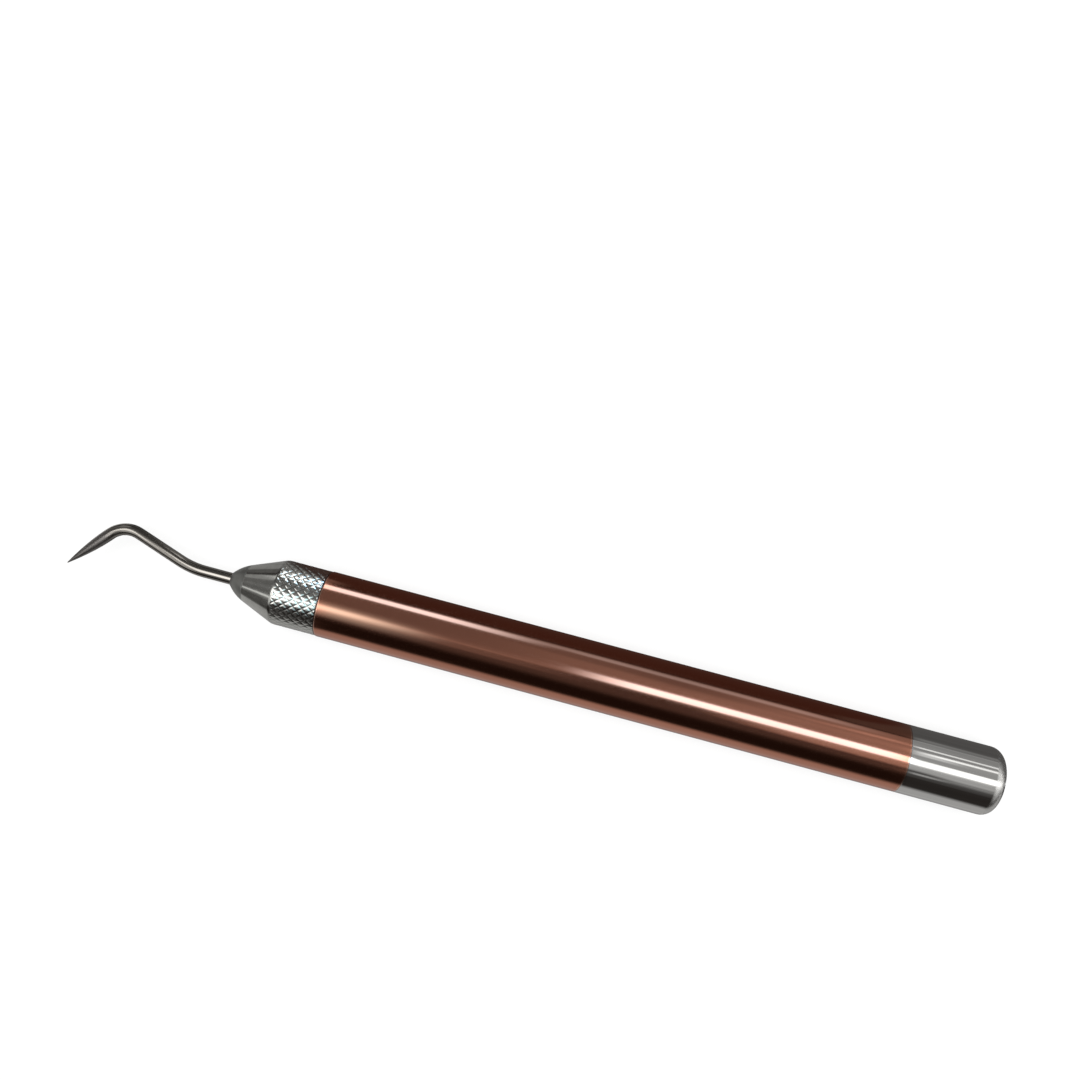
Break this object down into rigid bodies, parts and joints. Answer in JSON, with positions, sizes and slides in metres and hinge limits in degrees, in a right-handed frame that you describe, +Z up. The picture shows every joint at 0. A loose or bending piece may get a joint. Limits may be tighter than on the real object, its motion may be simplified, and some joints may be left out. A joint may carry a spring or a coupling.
{
  "type": "vinyl weeding tool",
  "caption": "Pen-like weeding tool: a bent pointed steel pick held by a collet in a knurled nose nut, on a tubular metal barrel with a screw cap.",
  "frame": {"origin": "on the surface that the tool lies on, under the middle of its whole length", "axes": "+X along the barrel towards the tail cap, so the pick points towards -X; +Y to the side that the hook's crest bends to; +Z up"},
  "size_m": [0.1557, 0.011, 0.011],
  "materials": {
    "pick_steel": "polished hardened steel wire, a little dark",
    "nose_aluminium": "fine turned aluminium, diamond knurled at the rear",
    "collet_steel": "turned spring steel",
    "insert_brass": "turned brass",
    "copper_anodising": "polished aluminium anodised copper brown, mirror-like",
    "cap_aluminium": "polished aluminium with fine lengthwise streaks",
    "seal_rubber": "matt black rubber"
  },
  "bodies": {
    "barrel": {"barrel_tube": "copper_anodising", "chuck_body": "insert_brass", "tail_bush": "insert_brass"},
    "collet": {"collet": "collet_steel"},
    "chuck_nut": {"chuck_nut": "nose_aluminium"},
    "pick": {"pick": "pick_steel"},
    "cap_seal": {"cap_seal": "seal_rubber"},
    "tail_cap": {"tail_cap": "cap_aluminium"}
  },
  "joints": [
    {"name": "collet_travel", "type": "slide", "parent": "barrel", "child": "collet", "axis": [-1, 0, 0], "range_m": [0, 0.0055]},
    {"name": "chuck_nut_turn", "type": "hinge", "parent": "collet", "child": "chuck_nut", "pos_m": [-0.042, 0, 0.00549], "axis": [-1, 0, 0], "range_deg": [0, 1980]},
    {"name": "pick_slide", "type": "slide", "parent": "collet", "child": "pick", "axis": [-1, 0, 0], "range_m": [-0.004, 0.026]},
    {"name": "tail_cap_travel", "type": "slide", "parent": "barrel", "child": "cap_seal", "axis": [1, 0, 0], "range_m": [0, 0.0075]},
    {"name": "tail_cap_turn", "type": "hinge", "parent": "cap_seal", "child": "tail_cap", "pos_m": [0.07, 0, 0.00549], "axis": [1, 0, 0], "range_deg": [0, 2700]}
  ],
  "couplings": [
    {"joint": "chuck_nut_turn", "follows": "collet_travel", "rad_per_m": 6283.2},
    {"joint": "tail_cap_turn", "follows": "tail_cap_travel", "rad_per_m": 6283.2}
  ]
}
